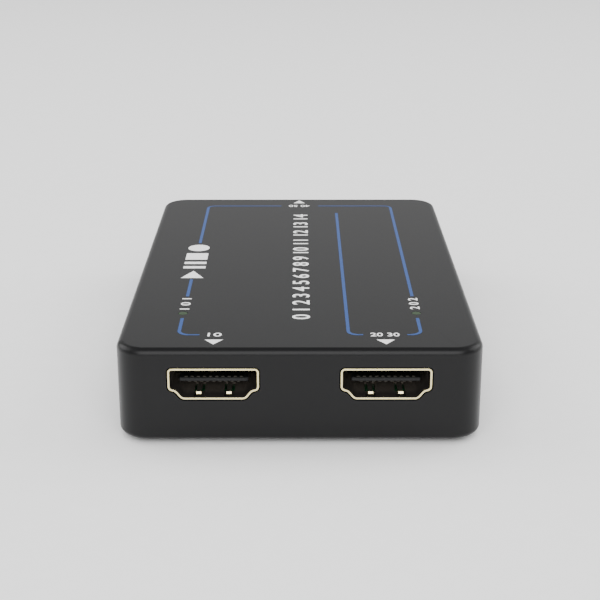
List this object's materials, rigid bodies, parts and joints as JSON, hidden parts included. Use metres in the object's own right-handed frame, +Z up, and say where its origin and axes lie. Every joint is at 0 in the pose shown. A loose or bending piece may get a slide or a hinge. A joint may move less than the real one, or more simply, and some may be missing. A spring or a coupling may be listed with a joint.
{
  "type": "video capture box",
  "caption": "Low rounded plastic box with a video input socket and a loop output socket at the front, a data socket at the rear and flow lines printed on its roof.",
  "frame": {"origin": "on the table, under the middle of the case, level with the lowest face of the rubber feet", "axes": "+Z up, +Y from the front face with the two video sockets to the rear face with the data socket, +X to the right seen from the front"},
  "size_m": [0.06, 0.093, 0.0168],
  "materials": {
    "case_plastic": "fine matte moulded texture",
    "plate_plastic": "fine matte moulded texture",
    "foot_rubber": "soft matte",
    "screw_steel": "black zinc plated",
    "board_laminate": "green solder mask over glass epoxy",
    "plated_steel": "nickel plated",
    "gold_shell": "pale gold plated",
    "contact_metal": "palladium nickel plated",
    "socket_insulator": "black glass filled plastic",
    "guide_plastic": "dark green clear plastic",
    "light_package": "clear resin",
    "pad_silicone": "soft matte",
    "sink_aluminium": "black anodised",
    "crystal_can": "satin",
    "coil_ferrite": "matte",
    "tantalum_moulding": "matte",
    "resistor_ceramic": "glazed",
    "capacitor_ceramic": "matte",
    "line_part_ceramic": "matte",
    "chip_epoxy": "matte mould compound",
    "blue_print_ink": "pad printed ink",
    "white_print_ink": "pad printed ink"
  },
  "bodies": {
    "root": {"board_screws": "screw_steel", "bottom_cover": "plate_plastic", "bulk_capacitor_1": "tantalum_moulding", "bulk_capacitor_2": "tantalum_moulding", "capture_chip": "chip_epoxy", "capture_crystal": "crystal_can", "case_screws": "screw_steel", "chip_capacitors": "capacitor_ceramic", "chip_resistors": "resistor_ceramic", "data_socket_contacts": "contact_metal", "data_socket_insulator": "socket_insulator", "data_socket_shell": "plated_steel", "flash_chip": "chip_epoxy", "foot_front_left": "foot_rubber", "foot_front_right": "foot_rubber", "foot_rear_left": "foot_rubber", "foot_rear_right": "foot_rubber", "heat_sink": "sink_aluminium", "input_choke_1": "line_part_ceramic", "input_choke_2": "line_part_ceramic", "input_choke_3": "line_part_ceramic", "input_choke_4": "line_part_ceramic", "input_socket_contacts": "contact_metal", "input_socket_insulator": "socket_insulator", "input_socket_shell": "gold_shell", "input_surge_array_1": "line_part_ceramic", "input_surge_array_2": "line_part_ceramic", "left_light_guide": "guide_plastic", "left_status_light": "light_package", "main_board": "board_laminate", "memory_chip": "chip_epoxy", "output_choke_1": "line_part_ceramic", "output_choke_2": "line_part_ceramic", "output_choke_3": "line_part_ceramic", "output_choke_4": "line_part_ceramic", "output_socket_contacts": "contact_metal", "output_socket_insulator": "socket_insulator", "output_socket_shell": "gold_shell", "output_surge_array_1": "line_part_ceramic", "output_surge_array_2": "line_part_ceramic", "power_inductor_1": "coil_ferrite", "power_inductor_2": "coil_ferrite", "power_inductor_3": "coil_ferrite", "receiver_chip": "chip_epoxy", "receiver_crystal": "crystal_can", "right_light_guide": "guide_plastic", "right_status_light": "light_package", "splitter_chip": "chip_epoxy", "thermal_pad": "pad_silicone", "top_cover": "case_plastic", "voltage_regulator_1": "chip_epoxy", "voltage_regulator_2": "chip_epoxy", "voltage_regulator_3": "chip_epoxy"}
  },
  "joints": []
}
